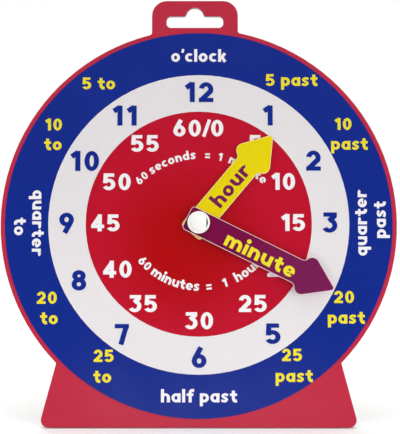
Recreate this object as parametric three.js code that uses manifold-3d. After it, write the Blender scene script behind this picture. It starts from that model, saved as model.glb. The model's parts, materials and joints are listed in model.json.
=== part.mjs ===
// Teaching clock: a card dial board with a hang tab and a flat foot, two arrow hands
// that turn on a snap rivet, and a folding strut on the back. Millimetres, +Z up.
// The board is laid out flat first: x right, y up the board, z out of its face, with
// the dial centre on the front of the core at zero. The whole clock is then leant back.

import * as THREE from 'three';
import { mergeVertices } from 'three/addons/utils/BufferGeometryUtils.js';
import Module from 'manifold-3d';

const wasm = await Module();
wasm.setup();

// Clearances and drawing accuracy

const glueLine = 0.05;        // thin gap left between glued or printed layers
const runningGap = 0.3;       // end play of the hands under the rivet's head
const chordError = 0.05;      // how far a drawn arc may stray from the true one

// Board

const boardRadius = 111;
const coreThickness = 2;
const sheetThickness = 0.25;
const liningInset = 1;
const footDrop = 113.3;       // dial centre down to the foot's edge
const footWidth = 176.8;
const footFlankLean = 14.8;   // degrees off the board's middle line
const footCornerRadius = 4;
const notchRadius = 1;        // inside corner between foot and disc
const tabWidth = 48.8;
const tabRise = 16.3;         // disc's edge up to the tab's top edge
const tabCentre = -2.2;
const tabCornerRadius = 8.5;
const tabRootRadius = 1.5;

// Hang slot

const slotWidth = 32.3;
const slotHeight = 6.7;
const slotRise = 0.7;         // disc's edge up to the slot
const slotEndRadius = 2.5;
const slotBumpRadius = 5;
const slotBumpRoot = 1.5;

// Print

const inkThickness = 0.1;
const groundBorder = 2.4;     // red ground left bare round the blue ring
const whiteRingShare = 0.7595; // outer radius of the white ring over the board's
const redDiscShare = 0.5703;
const inkSeam = 0.05;
const numeralHeightShare = 0.543; // numeral height over the white ring's width
const strokeShare = 0.25;     // stroke width over numeral height
const barShare = 0.21;        // the same for level strokes
const digitGapShare = 0.2;

// Hands

const handWidth = 14.2;
const handTail = 7.2;
const handTailCorner = 2;
const handCardThickness = 1;
const handSheetThickness = 0.15;
const handSheetInset = 0.3;   // bare card left round each hand's printed face
const hourHandOverlap = 0.7;  // hour hand's tip past the red disc's edge
const minuteHandShort = 0.8;  // minute hand's tip short of the white ring's edge
const headBarb = 20.5;        // rear face of the barb, back from the tip
const headWidth = 22.4;
const headTipWidth = 3.2;
const headRootRadius = 3;
const headCornerRadius = 4;
const hourHandAngle = 40;     // degrees clockwise from twelve
const minuteHandAngle = 116.4;

// Rivet and washers

const pinRadius = 3;          // outside of the socket tube that the hands turn on
const socketBore = 2.1;
const stemRadius = 1.85;
const stemGap = 0.6;          // stem end short of the socket's floor
const rivetHeadRadius = 6.3;
const rivetHeadHeight = 2.4;
const rivetRimHeight = 0.7;
const snapHeight = 1.2;
const snapDepth = 0.35;
const flangeRadius = 6.5;
const flangeThickness = 1.4;
const pinHoleClearance = 0.12;
const frontWasherRadius = 6.6;
const backWasherRadius = 8;
const washerThickness = 0.6;

// Strut

const strutHingeHeight = 150; // foot edge up the board to the crease
const strutOpening = 26;      // degrees between leg and board when it stands
const boardLean = 14;         // degrees that the standing board leans back
const strutThickness = 2;
const plateHeight = 46;
const strutTopWidth = 52;
const strutFootWidth = 66;
const strutCornerRadius = 5;
const creaseGap = 0.6;
const tapeHeight = 13;
const tapeThickness = 0.3;
const tapeInset = 1.5;
const tapeCreaseGap = 0.5;
const flangeWindowClearance = 2.5;

// Tie ribbon

const ribbonWidth = 9;
const ribbonThickness = 0.3;
const ribbonHeight = 42;      // foot edge up the board to the ribbon's board end
const patchWidth = 20;
const patchHeight = 14;
const patchThickness = 0.25;
const patchCornerRadius = 2;
const ribbonEndGap = 0.4;

// Colours and finishes

const colours = {
  cardCore: 0x9a958b,
  groundRed: 0xb92d3f,
  blue: 0x13298a,
  white: 0xe9e6e6,
  centreRed: 0xb41a2c,
  yellow: 0xe7d40b,
  purple: 0x7a1e54,
  handCard: 0xe9e2cf,
  rivet: 0xf6f4ec,
  washer: 0xe4e4e0,
  lining: 0xdedad0,
  strut: 0xcfc9bb,
  tape: 0x2b2b2e,
  ribbon: 0xd8d4c8,
};

// Stack of layers along z, from the core's front face

const faceTop = glueLine + sheetThickness;
const ringBase = faceTop + glueLine;
const ringTop = ringBase + inkThickness;
const numeralBase = ringTop + glueLine;
const liningBack = -coreThickness - glueLine - sheetThickness;
const dialWasherBase = ringTop + glueLine;
const hourHandBase = dialWasherBase + washerThickness + glueLine;
const handStack = handCardThickness + glueLine + handSheetThickness;
const handWasherBase = hourHandBase + handStack + glueLine;
const minuteHandBase = handWasherBase + washerThickness + glueLine;
const rivetHeadBase = minuteHandBase + handStack + runningGap;
const backWasherTop = liningBack - glueLine;
const flangeTop = backWasherTop - washerThickness - glueLine;
const pinHoleRadius = pinRadius + pinHoleClearance;

// Radii of the print, from the board's edge inwards

const blueRingOuter = boardRadius - groundBorder;
const whiteRingOuter = boardRadius * whiteRingShare;
const redDiscRadius = boardRadius * redDiscShare;
const hourNumeralRadius = (whiteRingOuter + redDiscRadius) / 2;
const hourNumeralHeight = (whiteRingOuter - redDiscRadius) * numeralHeightShare;

// Lengths of the hands, from the pivot to the tip

const hourHandLength = redDiscRadius + hourHandOverlap;
const minuteHandLength = whiteRingOuter - minuteHandShort;

// Plane drawing

function arcSteps(radius, sweep) {
  const step = 2 * Math.acos(1 - Math.min(chordError / radius, 1));
  return Math.max(2, Math.ceil(Math.abs(sweep) / step));
}

function arc(cx, cy, radius, from, to) {
  const steps = arcSteps(radius, to - from);
  return Array.from({ length: steps + 1 }, (_, i) => {
    const angle = from + (to - from) * i / steps;
    return new THREE.Vector2(cx + radius * Math.cos(angle), cy + radius * Math.sin(angle));
  });
}

function circle(cx, cy, radius) {
  return arc(cx, cy, radius, 0, 2 * Math.PI).slice(0, -1);
}

// A corner of a polygon, rounded by an arc that touches both of its sides
function roundCorner(before, corner, after, radius) {
  const a = before.clone().sub(corner).normalize();
  const b = after.clone().sub(corner).normalize();
  const half = Math.acos(a.dot(b)) / 2;
  const middle = a.clone().add(b).normalize();
  const centre = corner.clone().addScaledVector(middle, radius / Math.sin(half));
  const start = corner.clone().addScaledVector(a, radius / Math.tan(half)).sub(centre);
  const end = corner.clone().addScaledVector(b, radius / Math.tan(half)).sub(centre);
  const from = start.angle();
  const turn = Math.atan2(start.cross(end), start.dot(end));
  return arc(centre.x, centre.y, radius, from, from + turn);
}

// A closed outline from corners given as [x, y, radius]
function roundedOutline(corners) {
  const points = corners.map(([x, y]) => new THREE.Vector2(x, y));
  const count = corners.length;
  return corners.flatMap(([, , radius], i) => (radius > 0
    ? roundCorner(points[(i + count - 1) % count], points[i], points[(i + 1) % count], radius)
    : [points[i]]));
}

// Where a straight side runs into a disc round the origin through an inside radius.
// The side passes through point along direction, and outward points off the material.
function discFillet(point, direction, outward, discRadius, radius) {
  const start = point.clone().addScaledVector(outward, radius);
  const along = start.dot(direction);
  const reach = discRadius + radius;
  const root = Math.sqrt(along * along - start.lengthSq() + reach * reach);
  const shift = Math.abs(-along + root) < Math.abs(-along - root) ? -along + root : -along - root;
  const centre = start.clone().addScaledVector(direction, shift);
  return { centre, onSide: outward.clone().negate().angle(), onDisc: centre.clone().negate().angle() };
}

function filletArc({ centre, onSide, onDisc }, radius, fromSide) {
  const turn = Math.atan2(Math.sin(onDisc - onSide), Math.cos(onDisc - onSide));
  return fromSide
    ? arc(centre.x, centre.y, radius, onSide, onSide + turn)
    : arc(centre.x, centre.y, radius, onSide + turn, onSide);
}

// Solids

function extrude(outline, holes, base, thickness) {
  const shape = new THREE.Shape(outline);
  shape.holes = holes.map((points) => new THREE.Path(points));
  const geometry = new THREE.ExtrudeGeometry(shape, { depth: thickness, bevelEnabled: false });
  return geometry.translate(0, 0, base);
}

function toSolid(geometry) {
  const bare = geometry.clone();
  bare.deleteAttribute('normal');
  bare.deleteAttribute('uv');
  const merged = mergeVertices(bare);
  const vertProperties = new Float32Array(merged.attributes.position.array);
  const triVerts = new Uint32Array(merged.index.array);
  return new wasm.Manifold(new wasm.Mesh({ numProp: 3, vertProperties, triVerts }));
}

function joined(geometries) {
  const sum = geometries.map(toSolid).reduce((all, next) => all.add(next));
  const mesh = sum.getMesh();
  const geometry = new THREE.BufferGeometry();
  geometry.setAttribute('position', new THREE.BufferAttribute(mesh.vertProperties, 3));
  geometry.setIndex(new THREE.BufferAttribute(mesh.triVerts, 1));
  geometry.computeVertexNormals();
  return geometry;
}

// A turned solid about z from a closed profile of [radius, z]
function turned(profile) {
  const largest = Math.max(...profile.map(([radius]) => radius));
  const points = profile.map(([radius, z]) => new THREE.Vector2(radius, z));
  const closes = profile[0][0] === 0 ? points : [...points, points[0].clone()];
  const geometry = new THREE.LatheGeometry(closes, arcSteps(largest, 2 * Math.PI));
  return geometry.rotateX(Math.PI / 2);
}

// Materials and nodes

function paint(colour, roughness = 0.6, metalness = 0) {
  return new THREE.MeshStandardMaterial({ color: colour, roughness, metalness });
}

function node(parent, name, geometry, material) {
  const mesh = new THREE.Mesh(geometry, material);
  mesh.name = name;
  parent.add(mesh);
  return mesh;
}

// The board's outline, drawn anticlockwise from the foot's left corner, or one inset
// by a margin all round

function footSides(margin) {
  const lean = THREE.MathUtils.degToRad(footFlankLean);
  const upward = new THREE.Vector2(-Math.sin(lean), Math.cos(lean));
  const outward = new THREE.Vector2(Math.cos(lean), Math.sin(lean));
  const corner = new THREE.Vector2(footWidth / 2, -footDrop);
  const inset = corner.clone().addScaledVector(outward, -margin);
  const bottom = -footDrop + margin;
  const rise = (bottom - inset.y) / upward.y;
  return { upward, outward, corner: inset.clone().addScaledVector(upward, rise), bottom };
}

function mirrored(points) {
  return points.map((point) => new THREE.Vector2(-point.x, point.y)).reverse();
}

function boardOutline(margin = 0) {
  const disc = boardRadius - margin;
  const { upward, outward, corner, bottom } = footSides(margin);
  const notch = notchRadius + margin;
  const flank = discFillet(corner, upward, outward, disc, notch);
  const level = new THREE.Vector2(0, bottom);
  const cornerRadius = footCornerRadius - margin;
  const above = corner.clone().add(upward);
  const footRight = [
    ...roundCorner(level, corner, above, cornerRadius),
    ...filletArc(flank, notch, true),
  ];
  const root = tabRootRadius + margin;
  const tabSide = (side) => new THREE.Vector2(tabCentre + side * (tabWidth / 2 - margin), 0);
  const up = new THREE.Vector2(0, 1);
  const right = discFillet(new THREE.Vector2(tabSide(1).x, disc), up, new THREE.Vector2(1, 0), disc, root);
  const left = discFillet(new THREE.Vector2(tabSide(-1).x, disc), up, new THREE.Vector2(-1, 0), disc, root);
  const top = boardRadius + tabRise - margin;
  const tabCorner = tabCornerRadius - margin;
  const rightTop = new THREE.Vector2(tabSide(1).x, top);
  const leftTop = new THREE.Vector2(tabSide(-1).x, top);
  const flankAngle = flank.centre.angle() - 2 * Math.PI;
  return [
    ...footRight,
    ...arc(0, 0, disc, flankAngle, right.centre.angle()).slice(1, -1),
    ...filletArc(right, root, false),
    ...roundCorner(tabSide(1), rightTop, leftTop, tabCorner),
    ...roundCorner(rightTop, leftTop, tabSide(-1), tabCorner),
    ...filletArc(left, root, true),
    ...arc(0, 0, disc, left.centre.angle(), Math.PI - flankAngle).slice(1, -1),
    ...mirrored(footRight),
  ];
}

// The hang slot: a long slot with a round bump in the middle of its top side
function slotOutline() {
  const left = tabCentre - slotWidth / 2;
  const right = tabCentre + slotWidth / 2;
  const bottom = boardRadius + slotRise;
  const top = bottom + slotHeight;
  const reach = slotBumpRadius + slotBumpRoot;
  const rise = Math.asin(slotBumpRoot / reach);
  const rootX = reach * Math.cos(rise);
  const quarter = Math.PI / 2;
  const ends = roundedOutline([
    [left, top, slotEndRadius],
    [left, bottom, slotEndRadius],
    [right, bottom, slotEndRadius],
    [right, top, slotEndRadius],
  ]);
  return [
    ...ends,
    ...arc(tabCentre + rootX, top + slotBumpRoot, slotBumpRoot, -quarter, rise - 2 * quarter),
    ...arc(tabCentre, top, slotBumpRadius, rise, Math.PI - rise).slice(1, -1),
    ...arc(tabCentre - rootX, top + slotBumpRoot, slotBumpRoot, -rise, -quarter),
  ];
}

// Board: core, face sheet and lining share one outline, the slot and the rivet hole

function addBoard(board) {
  const holes = [slotOutline(), circle(0, 0, pinHoleRadius)];
  const core = extrude(boardOutline(), holes, -coreThickness, coreThickness);
  node(board, 'core_board', core, paint(colours.cardCore, 0.9));
  const face = extrude(boardOutline(), holes, glueLine, sheetThickness);
  node(board, 'face_sheet', face, paint(colours.groundRed, 0.25));
  const lining = extrude(boardOutline(liningInset), holes, liningBack, sheetThickness);
  node(board, 'back_lining', lining, paint(colours.lining, 0.8));
}

// Print: two rings and a disc side by side, and the hour numerals on the white ring

function addPrint(board) {
  const ring = (name, inner, outer, colour) => {
    const geometry = extrude(circle(0, 0, outer), [circle(0, 0, inner)], ringBase, inkThickness);
    node(board, name, geometry, paint(colour, 0.25));
  };
  ring('blue_ring_print', whiteRingOuter + inkSeam, blueRingOuter, colours.blue);
  ring('white_ring_print', redDiscRadius + inkSeam, whiteRingOuter, colours.white);
  ring('red_disc_print', pinHoleRadius, redDiscRadius, colours.centreRed);
}

// Numerals are drawn with strokes that have square ends and are thinner where they run
// level. Places are shares of the numeral's height. A bend is given as [centre x,
// centre y, radius x, radius y, from degrees, to degrees], a line as its two ends, and
// a bar is a level line.

const digitWidthShare = 0.72;
const oneWidthShare = 0.5;
const sideShare = strokeShare / 2;
const lowShare = barShare / 2;
const highShare = 1 - lowShare;
const middleShare = digitWidthShare / 2;
const bowlShare = middleShare - sideShare;
const digitStrokeShares = {
  0: [
    { bend: [middleShare, 0.5, bowlShare, highShare - 0.5, 80, 280] },
    { bend: [middleShare, 0.5, bowlShare, highShare - 0.5, -100, 100] },
  ],
  1: [
    { line: [[oneWidthShare - sideShare, 0], [oneWidthShare - sideShare, 1]] },
    { line: [[oneWidthShare - sideShare, 0.93], [0.07, 0.72]] },
  ],
  2: [
    { bend: [middleShare, 0.64, bowlShare, highShare - 0.64, 170, -38] },
    { line: [[0.6, 0.57], [0.13, lowShare]] },
    { bar: [[0, lowShare], [digitWidthShare, lowShare]] },
  ],
  3: [
    { bar: [[0.04, highShare], [digitWidthShare - 0.02, highShare]] },
    { line: [[0.62, highShare - 0.04], [0.3, 0.57]] },
    { bend: [0.33, 0.36, 0.265, 0.36 - lowShare, 95, -150] },
  ],
  4: [
    { line: [[0.5, 0], [0.5, 1]] },
    { line: [[0.5, 0.88], [0.1, 0.3]] },
    { bar: [[0, 0.29], [0.76, 0.29]] },
  ],
  5: [
    { bar: [[0.1, highShare], [0.65, highShare]] },
    { line: [[0.16, 1], [0.125, 0.42]] },
    { bend: [0.33, 0.34, 0.265, 0.34 - lowShare, 140, -150] },
  ],
  6: [
    { bend: [middleShare, 0.34, bowlShare, 0.34 - lowShare, -10, 190] },
    { bend: [middleShare, 0.34, bowlShare, 0.34 - lowShare, 170, 370] },
    { line: [[0.15, 0.45], [0.45, 1]] },
  ],
  7: [
    { bar: [[0, highShare], [digitWidthShare - 0.03, highShare]] },
    { line: [[0.56, highShare], [0.3, 0]] },
  ],
  8: [
    { bend: [middleShare, 0.72, bowlShare - 0.03, highShare - 0.72, -10, 190] },
    { bend: [middleShare, 0.72, bowlShare - 0.03, highShare - 0.72, 170, 370] },
    { bend: [middleShare, 0.31, bowlShare, 0.31 - lowShare, -10, 190] },
    { bend: [middleShare, 0.31, bowlShare, 0.31 - lowShare, 170, 370] },
  ],
};
digitStrokeShares[9] = digitStrokeShares[6].map(({ bend, line }) => (line
  ? { line: line.map(([x, y]) => [digitWidthShare - x, 1 - y]) }
  : { bend: halfTurned(bend) }));

function halfTurned([x, y, radiusX, radiusY, from, to]) {
  return [digitWidthShare - x, 1 - y, radiusX, radiusY, from + 180, to + 180];
}

function bendOutline([x, y, radiusX, radiusY, from, to], height) {
  const [start, end] = [from, to].map(THREE.MathUtils.degToRad);
  const steps = arcSteps((radiusX + strokeShare / 2) * height, end - start);
  const side = (sign) => Array.from({ length: steps + 1 }, (_, i) => {
    const angle = start + (end - start) * i / steps;
    const px = x + (radiusX + sign * strokeShare / 2) * Math.cos(angle);
    const py = y + (radiusY + sign * barShare / 2) * Math.sin(angle);
    return new THREE.Vector2(px * height, py * height);
  });
  return [...side(-1), ...side(1).reverse()];
}

function straightOutline(ends, width, height) {
  const [start, end] = ends.map(([x, y]) => new THREE.Vector2(x * height, y * height));
  const along = end.clone().sub(start).normalize();
  const offset = new THREE.Vector2(along.y, -along.x).multiplyScalar(width * height / 2);
  const right = [start.clone().add(offset), end.clone().add(offset)];
  return [...right, end.clone().sub(offset), start.clone().sub(offset)];
}

function strokeOutline({ bend, line, bar }, height) {
  if (bend) return bendOutline(bend, height);
  return straightOutline(line || bar, line ? strokeShare : barShare, height);
}

function digitGeometry(digit, x, y) {
  const height = hourNumeralHeight;
  const strokes = digitStrokeShares[digit]
    .map((stroke) => extrude(strokeOutline(stroke, height), [], numeralBase, inkThickness));
  return joined(strokes).translate(x, y, 0);
}

function digitWidth(digit) {
  return (digit === '1' ? oneWidthShare : digitWidthShare) * hourNumeralHeight;
}

// Middle of each numeral, across and up, as shares of the numerals' circle
const hourPlaceShares = [
  [0.527, 0.829],
  [0.874, 0.48],
  [0.996, 0.005],
  [0.89, -0.44],
  [0.56, -0.836],
  [0.003, -1.015],
  [-0.576, -0.84],
  [-0.905, -0.434],
  [-1.003, 0.003],
  [-0.87, 0.477],
  [-0.568, 0.828],
  [0.002, 1.01],
];

function addHourNumerals(board) {
  const gap = digitGapShare * hourNumeralHeight;
  hourPlaceShares.forEach(([across, up], index) => {
    const hour = index + 1;
    const digits = [...String(hour)];
    const width = digits.reduce((sum, digit) => sum + digitWidth(digit), gap * (digits.length - 1));
    let x = hourNumeralRadius * across - width / 2;
    const y = hourNumeralRadius * up - hourNumeralHeight / 2;
    digits.forEach((digit, i) => {
      const ending = digits.length > 1 ? ['_tens', '_units'][i] : '';
      const geometry = digitGeometry(digit, x, y);
      node(board, `hour_numeral_${hour}${ending}`, geometry, paint(colours.blue, 0.25));
      x += digitWidth(digit) + gap;
    });
  });
}

// Hands: an arrow outline with the pivot at zero and the tip up, or one inset by a
// margin all round

function handOutline(length, margin = 0) {
  const half = handWidth / 2;
  const tip = headTipWidth / 2;
  const lobe = new THREE.Vector2(headWidth / 2 - headCornerRadius, length - headBarb + headCornerRadius);
  const rootX = half + headRootRadius;
  const between = headCornerRadius + headRootRadius;
  const drop = Math.sqrt(between ** 2 - (rootX - lobe.x) ** 2);
  const root = new THREE.Vector2(rootX, lobe.y - drop);
  const lobeStart = root.clone().sub(lobe).angle() - 2 * Math.PI;
  const point = new THREE.Vector2(0, length - tip).sub(lobe);
  const side = point.angle() - Math.acos((headCornerRadius - tip) / point.length());
  const tail = new THREE.Vector2(half - margin, margin - handTail);
  const tailMiddle = new THREE.Vector2(0, tail.y);
  const tailSide = new THREE.Vector2(tail.x, 0);
  const right = [
    ...roundCorner(tailMiddle, tail, tailSide, handTailCorner - margin),
    ...arc(root.x, root.y, headRootRadius + margin, Math.PI, lobeStart + Math.PI),
    ...arc(lobe.x, lobe.y, headCornerRadius - margin, lobeStart, side).slice(1),
    ...arc(0, length - tip, tip - margin, side, Math.PI / 2),
  ];
  return [...right, ...mirrored(right).slice(1)];
}

function addHand(board, name, length, angle, base, colour) {
  const hand = new THREE.Group();
  hand.rotation.z = -THREE.MathUtils.degToRad(angle);
  board.add(hand);
  const holes = [circle(0, 0, pinHoleRadius)];
  const card = extrude(handOutline(length), holes, base, handCardThickness);
  node(hand, `${name}_card`, card, paint(colours.handCard, 0.85));
  const sheetBase = base + handCardThickness + glueLine;
  const sheet = extrude(handOutline(length, handSheetInset), holes, sheetBase, handSheetThickness);
  node(hand, `${name}_print`, sheet, paint(colour, 0.3));
}

// Rivet: a domed head whose stem snaps into a flanged socket from behind, with washers

function rivetHeadProfile() {
  const bottom = flangeTop - flangeThickness + stemGap;
  const barb = socketBore + snapDepth / 2;
  const snapTop = flangeTop + snapHeight;
  const rim = rivetHeadBase + rivetRimHeight;
  const domeHeight = rivetHeadHeight - rivetRimHeight;
  const steps = arcSteps(rivetHeadRadius, Math.PI / 2);
  const dome = Array.from({ length: steps + 1 }, (_, i) => {
    const angle = Math.PI / 2 * i / steps;
    return [rivetHeadRadius * Math.cos(angle), rim + domeHeight * Math.sin(angle)];
  });
  dome[steps][0] = 0;
  return [
    [0, bottom],
    [stemRadius - snapDepth, bottom],
    [barb, flangeTop],
    [stemRadius, snapTop - snapDepth],
    [stemRadius, rivetHeadBase],
    [rivetHeadRadius, rivetHeadBase],
    ...dome,
  ];
}

function rivetSocketProfile() {
  const bottom = flangeTop - flangeThickness;
  const top = rivetHeadBase - glueLine;
  const groove = socketBore + snapDepth;
  return [
    [socketBore, bottom],
    [flangeRadius - snapDepth, bottom],
    [flangeRadius, bottom + snapDepth],
    [flangeRadius, flangeTop],
    [pinRadius, flangeTop],
    [pinRadius, top],
    [socketBore, top],
    [socketBore, flangeTop + snapHeight],
    [groove, flangeTop + snapHeight - snapDepth],
    [groove, bottom + snapDepth],
  ];
}

function addRivet(board) {
  node(board, 'rivet_head', turned(rivetHeadProfile()), paint(colours.rivet, 0.3));
  node(board, 'rivet_socket', turned(rivetSocketProfile()), paint(colours.rivet, 0.4));
  const washer = (name, radius, base) => {
    const hole = [circle(0, 0, pinHoleRadius)];
    const geometry = extrude(circle(0, 0, radius), hole, base, washerThickness);
    node(board, name, geometry, paint(colours.washer, 0.5));
  };
  washer('dial_washer', frontWasherRadius, dialWasherBase);
  washer('hand_washer', frontWasherRadius, handWasherBase);
  washer('back_washer', backWasherRadius, backWasherTop - washerThickness);
}

// Strut: a plate glued to the lining and a leg below it, hinged by cloth tape on the
// rear face along the crease

const crease = strutHingeHeight - footDrop;
const plateTop = liningBack - glueLine;
const plateBack = plateTop - strutThickness;
const opening = THREE.MathUtils.degToRad(strutOpening);
const lean = THREE.MathUtils.degToRad(boardLean);
const creaseRise = strutHingeHeight * Math.cos(lean) + (coreThickness + plateBack) * Math.sin(lean);
const legSlant = opening - lean;
const legLength = (creaseRise - strutThickness * Math.sin(legSlant)) / Math.cos(legSlant);

function tapeStrip(from, to, width) {
  const corners = [[-width / 2, from, 0], [width / 2, from, 0], [width / 2, to, 0], [-width / 2, to, 0]];
  return extrude(roundedOutline(corners), [], -glueLine - tapeThickness, tapeThickness);
}

function patch(y, base) {
  const [x, top, bottom] = [patchWidth / 2, y + patchHeight / 2, y - patchHeight / 2];
  const corners = [[-x, bottom], [x, bottom], [x, top], [-x, top]];
  const outline = roundedOutline(corners.map(([px, py]) => [px, py, patchCornerRadius]));
  return extrude(outline, [], base, patchThickness);
}

function addStrut(board) {
  const half = strutTopWidth / 2;
  const plateLow = crease + creaseGap / 2;
  const plate = roundedOutline([
    [-half, plateLow, 0],
    [half, plateLow, 0],
    [half, plateLow + plateHeight, strutCornerRadius],
    [-half, plateLow + plateHeight, strutCornerRadius],
  ]);
  node(board, 'strut_plate', extrude(plate, [], plateBack, strutThickness), paint(colours.strut, 0.85));

  const hinge = new THREE.Group();
  hinge.position.set(0, crease, plateBack);
  board.add(hinge);
  const tapeWidth = strutTopWidth - 2 * tapeInset;
  const tapeUpper = tapeStrip(tapeCreaseGap / 2, tapeHeight, tapeWidth);
  node(hinge, 'hinge_tape_upper', tapeUpper, paint(colours.tape, 0.9));

  const leg = new THREE.Group();
  leg.rotation.x = opening;
  hinge.add(leg);
  const foot = strutFootWidth / 2;
  const legOutline = roundedOutline([
    [-foot, -legLength, strutCornerRadius],
    [foot, -legLength, strutCornerRadius],
    [half, -creaseGap / 2, 0],
    [-half, -creaseGap / 2, 0],
  ]);
  const window = circle(0, -crease, backWasherRadius + flangeWindowClearance);
  const legSolid = extrude(legOutline, [window], 0, strutThickness);
  node(leg, 'strut_leg', legSolid, paint(colours.strut, 0.85));
  const tapeLower = tapeStrip(-tapeHeight, -tapeCreaseGap / 2, tapeWidth);
  node(leg, 'hinge_tape_lower', tapeLower, paint(colours.tape, 0.9));
  addTie(board, leg);
}

// Tie ribbon: it runs straight from a glued patch on the lining to one on the leg
function addTie(board, leg) {
  const reach = strutHingeHeight - ribbonHeight;
  const boardY = crease - reach;
  const boardPatch = patch(boardY, liningBack - glueLine - patchThickness);
  node(board, 'ribbon_patch_board', boardPatch, paint(colours.lining, 0.8));
  const legPatch = patch(-reach, strutThickness + glueLine);
  node(leg, 'ribbon_patch_leg', legPatch, paint(colours.lining, 0.8));

  const standOff = glueLine + patchThickness + ribbonEndGap;
  const start = new THREE.Vector2(boardY, liningBack - standOff);
  const end = new THREE.Vector2(-reach, strutThickness + standOff);
  end.rotateAround(new THREE.Vector2(), opening).add(new THREE.Vector2(crease, plateBack));
  const run = end.clone().sub(start);
  const ribbon = new THREE.BoxGeometry(ribbonWidth, run.length(), ribbonThickness);
  const mesh = node(board, 'tie_ribbon', ribbon, paint(colours.ribbon, 0.8));
  const centre = start.clone().add(end).divideScalar(2);
  mesh.position.set(0, centre.x, centre.y);
  mesh.rotation.x = run.angle();
}

// The whole clock, leant back, with its origin under the middle of its bounding box

const board = new THREE.Group();
board.rotation.x = Math.PI / 2 - lean;
addBoard(board);
addPrint(board);
addHourNumerals(board);
addHand(board, 'hour_hand', hourHandLength, hourHandAngle, hourHandBase, colours.yellow);
addHand(board, 'minute_hand', minuteHandLength, minuteHandAngle, minuteHandBase, colours.purple);
addRivet(board);
addStrut(board);

const clock = new THREE.Group();
clock.add(board);
clock.updateMatrixWorld(true);
const box = new THREE.Box3().setFromObject(clock, true);
const centre = box.getCenter(new THREE.Vector3());
board.position.set(-centre.x, -centre.y, -box.min.z);
clock.updateMatrixWorld(true);

export default clock;
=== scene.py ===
import json
import math

import bmesh
import bpy
from mathutils import Matrix, Vector
from mathutils.geometry import delaunay_2d_cdt


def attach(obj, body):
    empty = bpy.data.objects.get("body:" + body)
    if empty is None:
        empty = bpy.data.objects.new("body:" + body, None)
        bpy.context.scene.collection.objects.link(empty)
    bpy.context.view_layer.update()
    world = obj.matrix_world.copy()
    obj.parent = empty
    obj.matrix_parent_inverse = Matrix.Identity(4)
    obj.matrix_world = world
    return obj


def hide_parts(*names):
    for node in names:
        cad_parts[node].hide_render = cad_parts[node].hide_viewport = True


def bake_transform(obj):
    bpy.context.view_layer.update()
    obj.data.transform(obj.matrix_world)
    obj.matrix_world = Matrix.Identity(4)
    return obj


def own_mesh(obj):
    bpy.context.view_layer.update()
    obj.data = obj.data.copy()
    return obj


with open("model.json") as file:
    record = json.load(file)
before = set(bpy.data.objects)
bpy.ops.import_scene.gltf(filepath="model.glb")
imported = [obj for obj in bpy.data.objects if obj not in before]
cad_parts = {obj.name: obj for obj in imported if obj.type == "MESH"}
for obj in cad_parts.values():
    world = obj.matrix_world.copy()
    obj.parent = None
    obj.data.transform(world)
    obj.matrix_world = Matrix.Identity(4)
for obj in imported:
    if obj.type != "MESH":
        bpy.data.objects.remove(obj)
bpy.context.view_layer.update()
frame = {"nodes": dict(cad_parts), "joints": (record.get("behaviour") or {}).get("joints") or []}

# A card teaching clock on its folding strut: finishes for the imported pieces, softer
# edges on the card, a turned rivet, cloth tape and ribbon, and all of the small print.
# Lengths are metres, or millimetres where a comment says so. Places on the board are
# given across it, up it and out of its face, from the dial's centre.

mm = 0.001
joints = {joint["name"]: joint for joint in frame["joints"]}
dial_centre = Vector(joints["minute_hand_turn"]["pos_m"])
outward = -Vector(joints["minute_hand_turn"]["axis"])
across = Vector((1, 0, 0))
upward = outward.cross(across)


def on_board(x, y, out):
    return dial_centre + across * x + upward * y + outward * out


def board_frame(x, y, out, turn=0):
    """Takes flat lettering to its place on the board, turned anticlockwise."""
    axes = Matrix((across, upward, outward)).transposed().to_4x4()
    return Matrix.Translation(on_board(x, y, out)) @ axes @ Matrix.Rotation(turn, 4, "Z")


def span(node, direction, start=dial_centre):
    """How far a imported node's nearest and furthest points lie from a place, along a direction."""
    distances = [(vertex.co - start).dot(direction) for vertex in frame["nodes"][node].data.vertices]
    return min(distances), max(distances)


def width_of(node):
    low_side, high_side = span(node, across)
    return high_side - low_side


def front_of(node):
    """How far a node's front stands out of the front of the board's core."""
    return span(node, outward)[1]


def back_of(node):
    return span(node, outward)[0]


# Colours, as written in sRGB

GROUND_RED = "#bd2a42"
CENTRE_RED = "#bb0929"
# Painted shade on the centre's red, near the rivet
SHADED_RED = "#ae0004"
RING_BLUE = "#072688"
PAPER_WHITE = "#e6e2e4"
WORD_WHITE = "#f2eff2"
WORD_YELLOW = "#eedd2e"
HAND_YELLOW = "#e7d305"
HAND_PURPLE = "#74164f"
# Painted shade on the minute hand's print, near the rivet
SHADED_PURPLE = "#740040"
CORE_GREY = "#857c78"
HOUR_CARD = "#ffefb0"
MINUTE_CARD = "#fadadd"
LINING = "#ebe8e1"
STRUT = "#c3b8a2"
TAPE = "#2c2c30"
RIBBON = "#e0dccf"
RIVET = "#faf9f5"
# Painted shade in the rivet head's groove and under its rim
GROOVE_SHADE = "#2e282c"
WASHER = "#e4e3de"
FLOOR = "#f4f4f4"


def linear(code):
    """The standard change from a written sRGB colour to the light that it stands for."""
    parts = [int(code[i:i + 2], 16) / 255 for i in (1, 3, 5)]
    return [c / 12.92 if c <= 0.04045 else ((c + 0.055) / 1.055) ** 2.4 for c in parts] + [1]


def lightened(colour, share):
    """Brighter by a share, and by a twentieth of it at the least, so that black changes too."""
    return [min(1, c * (1 + share) + share * 0.05) for c in colour[:3]] + [1]


def darkened(colour, share):
    return [c * (1 - share) for c in colour[:3]] + [1]


# Shader nodes that the materials and the world share

def remapped(tree, value, low, high, to_low=0, to_high=1):
    """Carries a value's range to another one, and keeps it inside."""
    node = tree.nodes.new("ShaderNodeMapRange")
    numbers = {"From Min": low, "From Max": high, "To Min": to_low, "To Max": to_high}
    for name, number in numbers.items():
        node.inputs[name].default_value = number
    tree.links.new(value, node.inputs["Value"])
    return node.outputs["Result"]


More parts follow.
